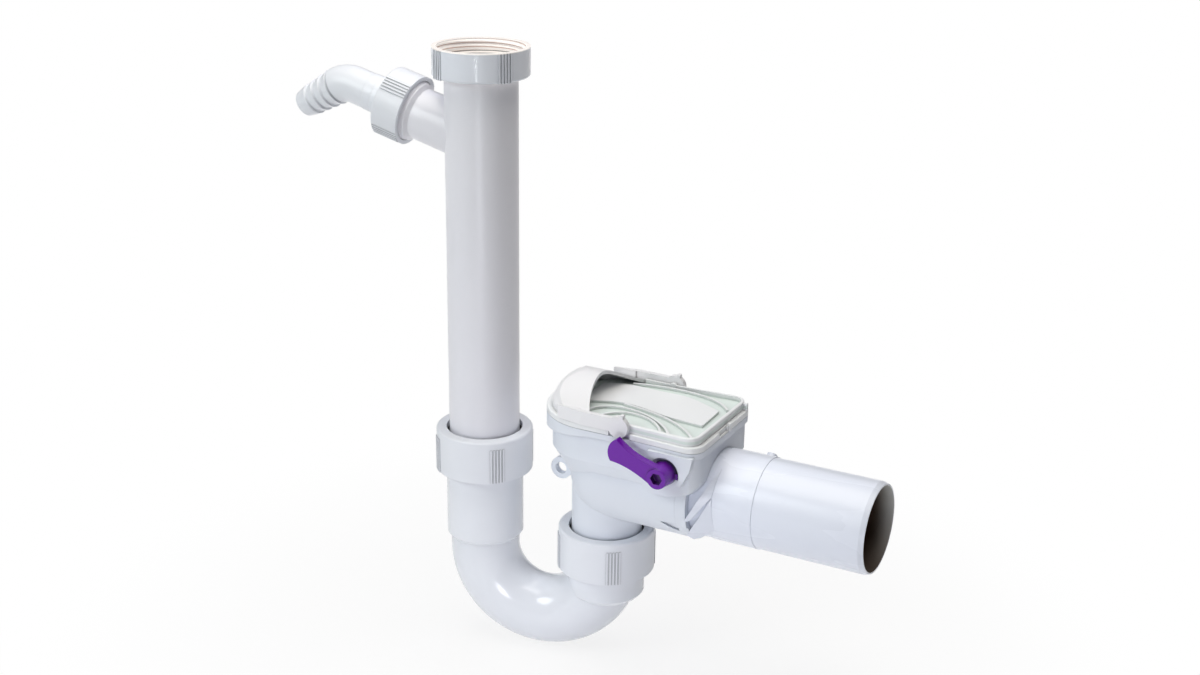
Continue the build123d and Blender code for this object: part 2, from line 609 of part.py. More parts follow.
def outlet_seal_zone(gap):
    """Ring-shaped space for the outlet seal, less a gap all round."""
    mid = BARREL_END - SEAL_CENTRE
    outer = across(BARREL_R - SEAL_COVER - gap, mid - SEAL_HALF + gap, mid + SEAL_HALF - gap)
    return outer - across(PIPE_R + RUN_FIT, mid - BEAD_LENGTH, mid + BEAD_LENGTH)


def outlet_seal():
    """Ring between the barrel and the outlet pipe."""
    return outlet_seal_zone(LOOSE)


def outlet_pipe():
    """Outlet spigot with the hooks that hold it over the barrel's bead and its release clip."""
    start = BARREL_END - PIPE_INSERTION
    pipe = across(PIPE_R, start, OUTLET_REACH)
    pipe = chamfer(pipe.edges().group_by(Axis.X)[-1], 3 * PIPE_CHAMFER, PIPE_CHAMFER)
    pipe += across(PIPE_R + SPIGOT_STEP, HOOK_END - 4, SPIGOT_START)
    root = PIPE_R - HOOK_ROOT
    shell = turned((root, -HOOK_END), (PIPE_R + HOOK_FOOT, -HOOK_END), (HOOK_R, -HOOK_START),
                   (HOOK_R - HOOK_WALL, -HOOK_START), (root, HOOK_WALL - HOOK_END))
    cone = Rot(0, -90, 0) * shell
    for corners in (HOOK_UPPER, HOOK_LOWER):
        outline = Polyline(*[(HOOK_START + past, height) for past, height in corners], close=True)
        front = extrude(Plane.XZ * make_face(outline), HOOK_R + 1)
        hooks = cone & front
        pipe += hooks
        pipe += mirror(hooks, Plane.XZ)
    clip = block(CLIP_START, CLIP_START + CLIP_LENGTH, -CLIP_WIDTH / 2, CLIP_WIDTH / 2, PIPE_R - CLIP_ROOT,
                 PIPE_R + CLIP_HEIGHT)
    knob = Pos(CLIP_START + CLIP_LENGTH, 0, 0) * rod(CLIP_WIDTH, PIPE_R - CLIP_ROOT, PIPE_R + KNOB_HEIGHT)
    pipe += Rot(CLIP_ANGLE - 90, 0, 0) * (clip + knob)
    pipe -= across(PIPE_R - PIPE_WALL + LEAD_IN, start - 1, start + 3 * LEAD_IN)
    return pipe - across(PIPE_R - PIPE_WALL, start - 1, OUTLET_REACH + 1)


def seat_insert():
    """Inclined seat with its round port and the two lugs that hold the flap's pin."""
    seat = interior(LOOSE, SEAT_TOP) & seat_slab(GASKET_FACE + RUN_FIT, SEAT_FACE)
    seat -= port(PORT_R, STEP_FACE - 1, SEAT_FACE + 1)
    low = KNUCKLE_OUT + FACE_GAP
    for side in (-1, 1):
        ear = Rot(90, 0, 0) * Cylinder(KNUCKLE_R, LUG_OUT - low)
        foot = Box(-SEAT_FACE + 0.5, LUG_OUT - low, 2 * KNUCKLE_R)
        ear += Pos((SEAT_FACE - 0.5) / 2, 0, 0) * foot
        seat += FLAP_FRAME * Pos(0, side * (LUG_OUT + low) / 2, 0) * ear
    return seat - hinge_bar(FLAP_PIN_R + PRESS_FIT, LUG_OUT + 1)


def insert_seal():
    """Flat gasket behind the seat."""
    face = interior(LOOSE, SEAT_TOP) & seat_slab(STEP_FACE + RUN_FIT, GASKET_FACE)
    return face - port(PORT_R + 0.5, STEP_FACE - 1, SEAT_FACE)


def hinge_bar(radius, half):
    """Round bar along the flap's hinge axis."""
    return Pos(HINGE_X, 0, HINGE_Z) * Rot(90, 0, 0) * Cylinder(radius, 2 * half)


def flap_hinge_pin():
    """Pin through the lugs and the flap's knuckles."""
    return hinge_bar(FLAP_PIN_R, LUG_OUT + FACE_GAP)


def flap():
    """Round flap with two knuckles and the pad that the cam presses."""
    disc = port(FLAP_R, FLAP_FRONT, FLAP_BACK)
    for side in (-1, 1):
        middle = side * (KNUCKLE_IN + KNUCKLE_OUT) / 2
        width = KNUCKLE_OUT - KNUCKLE_IN
        arm = block(FLAP_FRONT + 0.5, FLAP_BACK, -width / 2, width / 2, -FLAP_DROP / 2, 0)
        arm += Rot(90, 0, 0) * Cylinder(KNUCKLE_R - 0.1, width)
        disc += FLAP_FRAME * Pos(0, middle, 0) * arm
    rest = FLAP_BACK - FLAP_THICK / 2
    raised = block(rest, FLAP_BACK + FLAP_PAD, -FLAP_PAD_HALF, FLAP_PAD_HALF, FLAP_PAD_LOW, FLAP_PAD_TOP)
    long = FLAP_R - STIFFENER_END
    raised += block(rest, FLAP_BACK + FLAP_PAD / 2, -long, long, -STIFFENER_HALF, STIFFENER_HALF)
    disc += FLAP_FRAME * Pos(0, 0, -FLAP_DROP) * raised
    return disc - hinge_bar(FLAP_PIN_R + PRESS_FIT + RUN_FIT, LUG_OUT)


def flap_seal():
    """Soft facing ring on the flap."""
    face = port(FLAP_R - 0.2, FLAP_FRONT - SEAL_THICK, FLAP_FRONT)
    return face - port(PORT_R - 0.2, FLAP_FRONT - SEAL_THICK - 1, FLAP_FRONT + 1)


def spindle_bar(radius, low, high):
    """Round bar on the spindle's axis; stations run towards the front."""
    return SPINDLE_FRAME * rod(radius, low, high)


def lever_spindle():
    """Shaft of the shut-off lever with a groove for its ring."""
    back = -HEAD_R + BODY_WALL - SPINDLE_BLIND + FACE_GAP
    shaft = spindle_bar(SPINDLE_R, back, LEVER_FRONT - HEX_DEPTH - 1)
    mid = HEAD_R
    groove = SPINDLE_FRAME * ring(SPINDLE_R + 1, ORING_R, mid - ORING_WIDTH / 2, mid + ORING_WIDTH / 2)
    return shaft - groove


def spindle_seal():
    """Ring in the spindle's groove."""
    half = ORING_WIDTH / 2 - LOOSE
    return SPINDLE_FRAME * ring(SPINDLE_R, ORING_R, HEAD_R - half, HEAD_R + half)


def closing_cam():
    """Finger on the spindle that swings down and holds the flap shut."""
    reach = cam_reach()
    angle = 180 + FLAP_TILT - LEVER_SWING
    finger = Pos(reach / 2, 0, 0) * Box(reach, 2 * CAM_NOSE_R, 2 * CAM_HALF_WIDTH)
    finger += Pos(reach, 0, 0) * Cylinder(CAM_NOSE_R, 2 * CAM_HALF_WIDTH)
    cam = Rot(0, 0, angle) * finger + Cylinder(CAM_HUB_R, 4 * CAM_HALF_WIDTH)
    return SPINDLE_FRAME * cam - spindle_bar(SPINDLE_R + RUN_FIT, -5 * CAM_HALF_WIDTH, 5 * CAM_HALF_WIDTH)


def cam_reach():
    """Spindle axis to the centre of the cam's nose, so that it just clears the shut flap."""
    tilt = math.radians(FLAP_TILT)
    distance = (SPINDLE_X - HINGE_X) * math.cos(tilt) + (SPINDLE_Z - HINGE_Z) * math.sin(tilt)
    return distance - FLAP_BACK - FLAP_PAD - SWING_GAP - CAM_NOSE_R


def lever():
    """Shut-off lever: hub with a hexagonal recess, waisted arm and fanned tip."""
    upper = [(0, LEVER_NOSE_R), *LEVER_TOP_EDGE]
    lower = [*LEVER_LOW_EDGE, (0, -LEVER_NOSE_R)]
    arm = [
        Spline(*upper),
        ThreePointArc(upper[-1], LEVER_TIP, lower[0]),
        Spline(*lower),
        Line(lower[-1], upper[0]),
    ]
    blade = extrude(make_face(arm), LEVER_ARM_THICK)
    handle = Pos(0, 0, LEVER_FRONT - LEVER_ARM_THICK - LEVER_SET_BACK) * Rot(0, 0, 180 - LEVER_RISE) * blade
    foot = CHAMBER_HALF + SWING_GAP
    handle += Pos(0, 0, foot) * Cone(LEVER_HUB_R, LEVER_NOSE_R, LEVER_FRONT - foot, align=BASE)
    handle += block(0, LEVER_STOP_R, -LEVER_STOP_THICK, LEVER_STOP_THICK / 2, foot, foot + LEVER_STOP_THICK)
    handle -= rod(SPINDLE_R, CHAMBER_HALF, LEVER_FRONT - HEX_DEPTH - 1)
    recess = RegularPolygon(HEX_FLATS / 2, 6, major_radius=False)
    handle -= extrude(Pos(0, 0, LEVER_FRONT - HEX_DEPTH) * recess, HEX_DEPTH + 1)
    return SPINDLE_FRAME * handle


def hood_form(inset):
    """Dome of the bail's hood in the round, shrunk by an inset: a vault across it inside a domed wall."""
    foot = BAIL_BASE + HOOD_BORDER
    side = HOOD_BASE_R - inset
    line = [(side - inwards, foot + up - inset * up / HOOD_RISE) for inwards, up in HOOD_WALL_LINE]
    low = BAIL_BASE - 1
    wall = make_face([
        Polyline((0, 0, low), (-side, 0, low), (-side, 0, foot)),
        Spline(*[(-radius, 0, height) for radius, height in line]),
        Polyline((-line[-1][0], 0, line[-1][1]), (0, 0, line[-1][1]), (0, 0, low)),
    ])
    section = make_face([
        Spline(*[(0, radius, height) for radius, height in line]),
        Line((0, line[-1][0], line[-1][1]), (0, -line[-1][0], line[-1][1])),
        Spline(*[(0, -radius, height) for radius, height in reversed(line)]),
        Polyline((0, -side, foot), (0, -side, low), (0, side, low), (0, side, foot)),
    ])
    form = revolve(wall, Axis.Z, 360) + extrude(section, BAIL_X - HOOD_SHIFT, dir=(1, 0, 0))
    crown = foot + HOOD_RISE - inset
    half = [(0, across_y, crown - down) for across_y, down in HOOD_VAULT_LINE]
    vault = make_face([
        Spline(*([(0, -y, z) for _, y, z in reversed(half)] + half[1:])),
        Polyline(half[-1], (0, half[-1][1], low), (0, -half[-1][1], low), (0, -half[-1][1], half[-1][2])),
    ])
    return Pos(HOOD_SHIFT, 0, 0) * form & Pos(-2 * FLANGE_R, 0, 0) * extrude(vault, 4 * FLANGE_R, dir=(1, 0, 0))


def locking_bail():
    """Hood over the round end with two arms whose eyes turn on the cover's pins."""
    top = BAIL_BASE + HOOD_BORDER + HOOD_RISE + 1
    size = 2 * FLANGE_R
    cut_x = HOOD_CUT_X + HOOD_CUT_R
    shell = (hood_form(0) - hood_form(HOOD_WALL)) & block(-size, BAIL_X, -size, size, BAIL_BASE, top)
    shell -= Pos(cut_x, 0, 0) * rod(HOOD_CUT_R, BAIL_BASE - 1, top)
    inner = RIM_HALF + FACE_GAP
    outer = inner + BAIL_ARM
    outline = Polyline((BAIL_TAPER[0], inner - 1), (BAIL_TAPER[0], inner), (BAIL_TAPER[1], outer),
                       (BAIL_X, outer), (BAIL_X, inner), (0, inner), (0, inner - 1), close=True)
    arm = extrude(Pos(0, 0, BAIL_BASE) * make_face(outline), BAIL_ARM_TOP - BAIL_BASE)
    arm += Pos(BAIL_X, (inner + outer) / 2, BAIL_Z) * Rot(90, 0, 0) * Cylinder(BAIL_EYE_R, BAIL_ARM)
    nib = BAIL_X + NIB_OFFSET
    arm += block(nib, nib + NIB, inner, outer, BAIL_Z, BAIL_Z + BAIL_EYE_R + NIB / 2)
    shell += arm + mirror(arm, Plane.XZ)
    shell -= block(BAIL_X - 3, BAIL_X + BAIL_EYE_R + 1, -inner, inner, BAIL_BASE - 5, top)
    hole = 2 * (outer - BAIL_SKIN)
    shell -= Pos(BAIL_X, 0, BAIL_Z) * Rot(90, 0, 0) * Cylinder(BAIL_PIN_R + RUN_FIT, hole)
    return shell


def panel_relief():
    """Raised band and bowed ribs on the cover's recessed panel."""
    front, back = COVER_BAND
    band = make_face([Spline(*front), Line(front[-1], back[0]), Spline(*back), Line(back[-1], front[0])])
    relief = extrude(band, BAND_HEIGHT + RIM_WIDTH)
    for points in COVER_RIBS:
        line = Spline(*points)
        relief += extrude(trace(line, COVER_RIB), BAND_HEIGHT + RIM_WIDTH)
    inside = slab(RIM_HALF - 1, RIM_END - 1, HEAD_CORNER - 2, PANEL_TOP - 1, RIM_TOP)
    return Pos(0, 0, PANEL_TOP - RIM_WIDTH) * relief & inside


def cover():
    """Inspection cover: flange, raised rim, recessed panel with its band and ribs, pins for the bail."""
    low = BODY_TOP + FACE_GAP
    shoulder = low + COVER_FLANGE
    corner = HEAD_CORNER - (FLANGE_R - RIM_HALF)
    rim = soft_slab(RIM_HALF, RIM_END, corner, shoulder - 1, RIM_TOP, RIM_ROUND)
    rim -= slab(RIM_HALF - RIM_WIDTH, RIM_END - RIM_WIDTH, corner - RIM_WIDTH, PANEL_TOP, RIM_TOP + 1)
    top = rim + panel_relief()
    wide = RIM_HALF + SIDE_SPREAD + 1
    hood_end = HOOD_CUT_X + HOOD_CUT_R - math.sqrt(HOOD_CUT_R ** 2 - (RIM_HALF + FACE_GAP) ** 2)
    beyond = block(hood_end + SWING_GAP, RIM_END + 1, -wide, wide, low, RIM_TOP + 1)
    top &= hood_form(HOOD_WALL + SWING_GAP) + beyond
    body = soft_slab(FLANGE_R, FLANGE_END, HEAD_CORNER, low, shoulder, RIM_ROUND) + top
    body -= block(FLANGE_END - LATCH_DEPTH, FLANGE_END + 1, *LATCH_SLOT, low + LATCH_FLOOR, shoulder + 1)
    body += block(FLANGE_END - LATCH_DEPTH, FLANGE_END + LATCH_DEPTH / 2, *PEG, low, shoulder + 1)
    body += block(FLANGE_END - 3 * LATCH_DEPTH, FLANGE_END, *TAB, low, TAB_TOP)
    hollow = HEAD_R - BODY_WALL - 2 * FACE_GAP
    end = HEAD_END - BODY_WALL - 2 * FACE_GAP
    corner = HEAD_CORNER - BODY_WALL
    body += slab(hollow, end, corner, low - SKIRT_DEPTH, low)
    body -= slab(hollow - SKIRT_WALL, end - SKIRT_WALL, corner - SKIRT_WALL, low - SKIRT_DEPTH - 1,
                 PANEL_TOP - PANEL_THICK)
    body += seat_slab(GASKET_FACE, SEAT_FACE) & slab(hollow, end, corner, SEAT_TOP + FACE_GAP, PANEL_TOP - 1)
    notch = BAIL_EYE_R + SWING_GAP
    for side in (-1, 1):
        y0, y1 = sorted((side * (RIM_HALF + FACE_GAP / 2), side * (FLANGE_R + 1)))
        body -= block(BAIL_X - notch, BAIL_X + notch, y0, y1, low - 1, RIM_TOP + 1)
        pin = Rot(90, 0, 0) * Cylinder(BAIL_PIN_R, BAIL_PIN_LENGTH + 2)
        body += Pos(BAIL_X, side * (RIM_HALF + BAIL_PIN_LENGTH / 2 - 1), BAIL_Z) * pin
    return body


NODES = {
    "inlet_nut": inlet_nut,
    "inlet_washer": inlet_washer,
    "tailpiece": tailpiece,
    "branch_nut": branch_nut,
    "branch_washer": branch_washer,
    "hose_nozzle": hose_nozzle,
    "inlet_trap_nut": lambda: LEG * trap_nut(INLET_JOINT_TOP),
    "inlet_wedge_seal": lambda: LEG * wedge_seal(INLET_JOINT_TOP),
    "trap_bend": trap_bend,
    "outlet_trap_nut": lambda: trap_nut(OUTLET_JOINT_TOP),
    "outlet_wedge_seal": lambda: wedge_seal(OUTLET_JOINT_TOP),
    "valve_body": valve_body,
    "outlet_pipe": outlet_pipe,
    "outlet_seal": outlet_seal,
    "cover": cover,
    "cover_seal": cover_seal,
    "seat_insert": seat_insert,
    "insert_seal": insert_seal,
    "flap_hinge_pin": flap_hinge_pin,
    "flap": flap,
    "flap_seal": flap_seal,
    "lever_spindle": lever_spindle,
    "spindle_seal": spindle_seal,
    "closing_cam": closing_cam,
    "lever": lever,
    "locking_bail": locking_bail,
}

os.makedirs("parts", exist_ok=True)
for name, make in NODES.items():
    piece = Pos(-OUTLET_REACH, 0, 0) * make()
    piece.label = name
    export_step(piece, f"parts/{name}.step")
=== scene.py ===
import math

import bmesh
import bpy
from mathutils import Matrix, Vector


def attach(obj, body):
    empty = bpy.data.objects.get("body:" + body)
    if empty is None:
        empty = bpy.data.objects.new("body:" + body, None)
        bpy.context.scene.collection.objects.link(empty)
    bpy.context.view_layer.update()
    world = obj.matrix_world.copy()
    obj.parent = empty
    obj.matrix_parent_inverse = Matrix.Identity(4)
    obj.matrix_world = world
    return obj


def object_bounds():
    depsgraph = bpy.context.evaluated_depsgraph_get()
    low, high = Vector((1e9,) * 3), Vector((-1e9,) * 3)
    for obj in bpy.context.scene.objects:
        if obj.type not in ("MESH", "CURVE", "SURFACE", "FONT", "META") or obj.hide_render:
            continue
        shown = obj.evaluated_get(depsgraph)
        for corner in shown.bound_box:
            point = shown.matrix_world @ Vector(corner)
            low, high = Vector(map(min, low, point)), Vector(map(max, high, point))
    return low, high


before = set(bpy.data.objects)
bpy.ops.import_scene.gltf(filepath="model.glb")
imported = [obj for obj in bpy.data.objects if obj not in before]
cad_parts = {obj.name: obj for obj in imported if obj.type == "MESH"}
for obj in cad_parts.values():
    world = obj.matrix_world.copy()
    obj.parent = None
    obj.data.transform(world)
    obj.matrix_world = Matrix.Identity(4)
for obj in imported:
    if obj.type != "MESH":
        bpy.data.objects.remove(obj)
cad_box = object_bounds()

# The white studio table that the trap stands on, and the view of it with a long lens from a little above,
# as a catalogue picture is taken. The paper stays white and only keeps the trap's soft shadow.
CAMERA_PLACE = (0.24425, -0.7728, 0.3922)
CAMERA_RIGHT = (0.8807, 0.4734, 0.0139)
CAMERA_UP = (-0.1727, 0.2936, 0.9402)
CAMERA_BACK = (0.4410, -0.8305, 0.3402)
CAMERA_NEAR = 0.01
LENS = 50.856               # in millimetres, as the sensor's width is
SENSOR = 36.0
TABLE_SIDE = 8.0
TABLE_DROP = 0.0002
TABLE_WHITE = 0.9
TABLE_GLOW = 0.84           # how far the paper is lifted to white where the trap's shadow lies
SHADOW_REACH = 0.34         # and past this distance it is plain white
SHADOW_CORE = SHADOW_REACH / 3
BLACK = (0, 0, 0, 1)
WHITE = (1, 1, 1, 1)


def linear(red, green, blue):
    """A colour as read off a picture, 0 to 255, as the light it stands for."""
    shares = [value / 255 for value in (red, green, blue)]
    return [s / 12.92 if s <= 0.04045 else ((s + 0.055) / 1.055) ** 2.4 for s in shares] + [1.0]


class Wire:
    """The value that leaves one socket of a finish. It adds, multiplies and compares as a number does."""

    def __init__(self, finish, socket):
        self.finish = finish
        self.socket = socket

    def __add__(self, other):
        return self.finish.maths("ADD", self, other)

    def __radd__(self, other):
        return self.finish.maths("ADD", other, self)

    def __sub__(self, other):
        return self.finish.maths("SUBTRACT", self, other)

    def __rsub__(self, other):
        return self.finish.maths("SUBTRACT", other, self)

    def __mul__(self, other):
        return self.finish.maths("MULTIPLY", self, other)

    def __rmul__(self, other):
        return self.finish.maths("MULTIPLY", other, self)

    def __truediv__(self, other):
        return self.finish.maths("DIVIDE", self, other)

    def __rtruediv__(self, other):
        return self.finish.maths("DIVIDE", other, self)

    def __pow__(self, other):
        return self.finish.maths("POWER", self, other)

    def __rpow__(self, other):
        return self.finish.maths("POWER", other, self)

    def __lt__(self, other):
        return self.finish.maths("LESS_THAN", self, other)

    def __gt__(self, other):
        return self.finish.maths("GREATER_THAN", self, other)

    def __abs__(self):
        return self.finish.maths("ABSOLUTE", self)


class Finish:
    """The surface of a piece, or the light of the room: a material or world and the nodes that vary it."""

    EDGE_SAMPLES = 4
    CREASE_SAMPLES = 6
    PLASTIC_IOR = 1.5
    MILK_DEPTH = 0.002      # how far light gets into a white plastic

    def __init__(self, name, kind=bpy.data.materials):
        self.owner = kind.new(name)
        self.owner.use_nodes = True
        self.tree = self.owner.node_tree
        self.tree.nodes.clear()

    def node(self, kind, settings, sockets, out=0):
        """A new node, and the wire that leaves it, unless it is the last one."""
        made = self.tree.nodes.new(kind)
        for key, value in settings.items():
            setattr(made, key, value)
        for key, value in sockets.items():
            if isinstance(value, Wire):
                self.tree.links.new(value.socket, made.inputs[key])
            else:
                made.inputs[key].default_value = value
        return Wire(self, made.outputs[out]) if made.outputs else None

    def maths(self, operation, *values):
        return self.node("ShaderNodeMath", {"operation": operation}, dict(enumerate(values)))

    def vector_maths(self, operation, sockets, out="Vector"):
        return self.node("ShaderNodeVectorMath", {"operation": operation}, sockets, out)

    def place(self):
        """Where a point of the surface lies in the piece's own frame, which the piece takes along."""
        return self.node("ShaderNodeTexCoord", {}, {}, "Object")

    def part(self, vector, side):
        return self.node("ShaderNodeSeparateXYZ", {}, {"Vector": vector}, side)

    def noise(self, scale, detail, stretch=(1.0, 1.0, 1.0)):
        """Soft clouds, which a stretch below 1 draws out along its axis."""
        at = self.vector_maths("MULTIPLY", {0: self.place(), 1: stretch})
        return self.node("ShaderNodeTexNoise", {}, {"Vector": at, "Scale": scale, "Detail": detail}, "Fac")

    def rise(self, value, start, end):
        """Climbs smoothly from 0 to 1 as the value goes from the start to the end."""
        return self.node("ShaderNodeMapRange", {"interpolation_type": "SMOOTHSTEP"},
                         {"Value": value, "From Min": start, "From Max": end}, "Result")

    def blend(self, share, first, second):
        """Goes from the first colour to the second. A Mix node's sockets for colours are 6, 7 and 2."""
        return self.node("ShaderNodeMix", {"data_type": "RGBA"}, {0: share, 6: first, 7: second}, 2)

    def mottled(self, share, colour, shade):
        """The colour, clouded with one that is a few levels darker."""
        return self.blend(share, linear(*[value - shade for value in colour]), linear(*colour))

    def crease_shaded(self, colour, reach, left, bite):
        """The colour with painted shade, a share of itself where little light gets into a groove or corner.
        """
        open_sky = self.node("ShaderNodeAmbientOcclusion", {"samples": self.CREASE_SAMPLES},
                             {"Distance": reach}, "AO")
        shaded = self.vector_maths("SCALE", {0: colour, "Scale": left})
        return self.blend(open_sky ** bite, shaded, colour)

    def relief(self, strength, depth, height, edge=0.0):
        """The normal of a fine relief, on edges that are rounded to a radius where one is given."""
        sockets = {"Strength": strength, "Distance": depth, "Height": height}
        if edge:
            sockets["Normal"] = self.node("ShaderNodeBevel", {"samples": self.EDGE_SAMPLES},
                                          {"Radius": edge}, "Normal")
        return self.node("ShaderNodeBump", {}, sockets, "Normal")

    def shown(self, shader, output="ShaderNodeOutputMaterial"):
        self.node(output, {}, {"Surface": shader})
        return self.owner

    def surface(self, sockets):
        return self.shown(self.node("ShaderNodeBsdfPrincipled", {}, sockets))

    def plastic(self, milk, sockets):
        """A plastic surface that scatters a share of the light below its skin."""
        return self.surface({"IOR": self.PLASTIC_IOR, "Subsurface Weight": milk,
                             "Subsurface Radius": (self.MILK_DEPTH,) * 3, **sockets})


camera = bpy.data.objects.new("camera", bpy.data.cameras.new("camera"))
camera.data.lens = LENS
camera.data.sensor_width = SENSOR
camera.data.clip_start = CAMERA_NEAR
camera.matrix_world = Matrix.Translation(CAMERA_PLACE) @ Matrix(
    (CAMERA_RIGHT, CAMERA_UP, CAMERA_BACK)).transposed().to_4x4()
bpy.context.collection.objects.link(camera)
bpy.context.scene.camera = camera
bpy.context.scene.view_settings.view_transform = "Standard"

lowest, highest = cad_box
table_mesh = bmesh.new()
bmesh.ops.create_grid(table_mesh, x_segments=1, y_segments=1, size=TABLE_SIDE / 2,
                      matrix=Matrix.Translation((0, 0, lowest.z - TABLE_DROP)))
table = bpy.data.objects.new("table", bpy.data.meshes.new("table"))
table_mesh.to_mesh(table.data)
table_mesh.free()
bpy.context.collection.objects.link(table)
paper = Finish("white_paper")
seen = paper.node("ShaderNodeLightPath", {}, {}, "Is Camera Ray")
mirrored = paper.node("ShaderNodeLightPath", {}, {}, "Is Glossy Ray")
middle = (lowest + highest) / 2
away = paper.vector_maths("DISTANCE", {0: paper.place(), 1: (middle.x, middle.y, lowest.z)}, "Value")
lifted = (seen + mirrored) * (TABLE_GLOW + paper.rise(away, SHADOW_CORE, SHADOW_REACH) * (1 - TABLE_GLOW))
sheet = paper.node("ShaderNodeBsdfDiffuse", {}, {"Color": (TABLE_WHITE, TABLE_WHITE, TABLE_WHITE, 1)})
glow = paper.node("ShaderNodeEmission", {}, {"Color": WHITE})
table.data.materials.append(paper.shown(
    paper.node("ShaderNodeMixShader", {}, {0: lifted, 1: sheet, 2: glow})))

# The light: a key lamp at the front left, a large warm diffuser overhead, two weak cool fills, a gridded
# one low in front for the bend and one high behind, and a small lamp for the glint on the inlet nut.
KEY_WHITE = (0.95, 1.0, 1.0)
TOP_WARM = (1.0, 0.965, 0.92)
FILL_LILAC = (0.90, 0.90, 1.0)
BACK_BLUE = (0.78, 0.83, 1.0)
ROOM_BLUE = (0.9, 0.92, 1.0, 1)
ROOM_DIM = 0.04


def softbox(name, place, aim, size, power, colour, spread=180):
    """A square lamp with a diffuser, or a grid that narrows its spread, turned to a point of the trap."""
    lamp = bpy.data.objects.new(name, bpy.data.lights.new(name, "AREA"))
    lamp.data.size = size
    lamp.data.spread = math.radians(spread)
    lamp.data.energy = power
    lamp.data.color = colour
    lamp.location = place
    lamp.rotation_euler = (Vector(aim) - Vector(place)).to_track_quat("-Z", "Y").to_euler()
    bpy.context.collection.objects.link(lamp)


softbox("key", place=(-0.66, -0.80, 0.62), aim=(-0.15, 0, 0), size=0.42, power=4.3, colour=KEY_WHITE)
softbox("overhead", place=(-0.15, -0.05, 1.2), aim=(-0.15, 0, 0), size=1.1, power=12.6, colour=TOP_WARM)
softbox("low_fill", place=(0.05, -0.62, -0.02), aim=(-0.17, 0, -0.10), size=0.16, power=0.135,
        colour=FILL_LILAC, spread=60)
softbox("glint", place=(0.027, -0.716, 0.08), aim=(-0.233, -0.013, 0.24), size=0.05, power=0.009,
        colour=KEY_WHITE, spread=40)
softbox("back_fill", place=(-0.45, 0.8, 0.9), aim=(-0.15, 0, 0.03), size=0.8, power=2.2, colour=BACK_BLUE)

# The room itself gives only a little light, and is seen as plain white.
room = Finish("studio", bpy.data.worlds)
dim = room.node("ShaderNodeBackground", {}, {"Color": ROOM_BLUE, "Strength": ROOM_DIM})
plain = room.node("ShaderNodeBackground", {}, {"Color": WHITE})
watched = room.node("ShaderNodeLightPath", {}, {}, "Is Camera Ray")
bpy.context.scene.world = room.shown(
    room.node("ShaderNodeMixShader", {}, {0: watched, 1: dim, 2: plain}), "ShaderNodeOutputWorld")

# The valve housing: riser, barrel, head and fixing ear, injection-moulded in one from a bluish-white
# polypropylene with a spark-eroded matt skin. The rest of the valve is fastened to it.
HOUSING_WHITE = (229, 234, 242)
FLOW_SHEEN = 0.1            # how much the flow of the plastic varies the roughness
FLOW_HEIGHT = 0.8
GRAIN_SCALE = 1500.0
GRAIN_DETAIL = 3.0
GRAIN_DEPTH = 0.0003
MILKY = 0.06
SOFT_EDGE = 0.0004
# The painted shade in grooves and corners: how far it reaches, how much colour it leaves and how sharply.
CREASE_SHADE = (0.002, 0.5, 0.7)  # the reach, the share of the colour left and the bite


def moulded(name, colour, shade, rough, grain, edge=SOFT_EDGE, crease_shade=CREASE_SHADE):
    """Moulded plastic: faint flow clouds, the tool's grain, softened edges and painted shade in creases."""
    finish = Finish(name)
    clouds = finish.noise(scale=14.0, detail=3.0)
    flow = finish.noise(scale=70.0, detail=2.0)
    fine = finish.noise(GRAIN_SCALE, GRAIN_DETAIL)
    return finish.plastic(MILKY, {
        "Base Color": finish.crease_shaded(finish.mottled(clouds, colour, shade), *crease_shade),
        "Roughness": rough + (flow - 0.5) * FLOW_SHEEN,
        "Normal": finish.relief(grain, GRAIN_DEPTH, fine + flow * FLOW_HEIGHT, edge),
    })


def coat(finish, *names):
    """Gives CAD nodes their finish."""
    for name in names:
        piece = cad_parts[name]
        if not piece.material_slots:
            piece.data.materials.append(finish)
        for slot in piece.material_slots:
            slot.material = finish


coat(moulded("housing_plastic", HOUSING_WHITE, shade=7, rough=0.46, grain=0.22), "valve_body")

# The inclined seat and the flap: two plain white mouldings dropped into the head from above. The flap
# has a soft black facing, hangs on the seat's lugs and falls shut by its own weight.
INNER_WHITE = (216, 221, 226)
RUBBER_BLACK = (26, 26, 28)
RUBBER_BLOOM = (52, 52, 55)  # the dusty bloom that comes off the mould
RUBBER_ROUGH = 0.55
BLOOM_SHEEN = 0.25
SKIN_HEIGHT = 0.5
coat(moulded("inner_plastic", INNER_WHITE, shade=8, rough=0.4, grain=0.15), "seat_insert", "flap")
rubber = Finish("seal_rubber")
bloom = rubber.noise(scale=220.0, detail=4.0)
skin = rubber.noise(scale=1700.0, detail=2.0)
seal_rubber = rubber.surface({
    "Base Color": rubber.blend(bloom, linear(*RUBBER_BLACK), linear(*RUBBER_BLOOM)),
    "Roughness": RUBBER_ROUGH + (bloom - 0.5) * BLOOM_SHEEN,
    "Normal": rubber.relief(strength=0.2, depth=0.0002, height=bloom + skin * SKIN_HEIGHT),
})
coat(seal_rubber, "insert_seal", "flap_seal")

# The flap's hinge pin: a length of drawn stainless wire pushed through the lugs, bright, with the
# die's fine lines along it.
STEEL_DARK = (150, 150, 153)
STEEL_BRIGHT = (196, 196, 198)
STEEL_ROUGH = 0.22
LINE_DULLER = 0.18
ALONG_PIN = (1.0, 0.03, 1.0)  # the lines run along Y, as the pin does
steel = Finish("drawn_steel")
lines = steel.noise(scale=700.0, detail=2.0, stretch=ALONG_PIN)
coat(steel.surface({
    "Base Color": steel.blend(lines, linear(*STEEL_DARK), linear(*STEEL_BRIGHT)),
    "Metallic": 1.0,
    "Roughness": STEEL_ROUGH + lines * LINE_DULLER,
    "Normal": steel.relief(strength=0.2, depth=0.00005, height=lines),
}), "flap_hinge_pin")

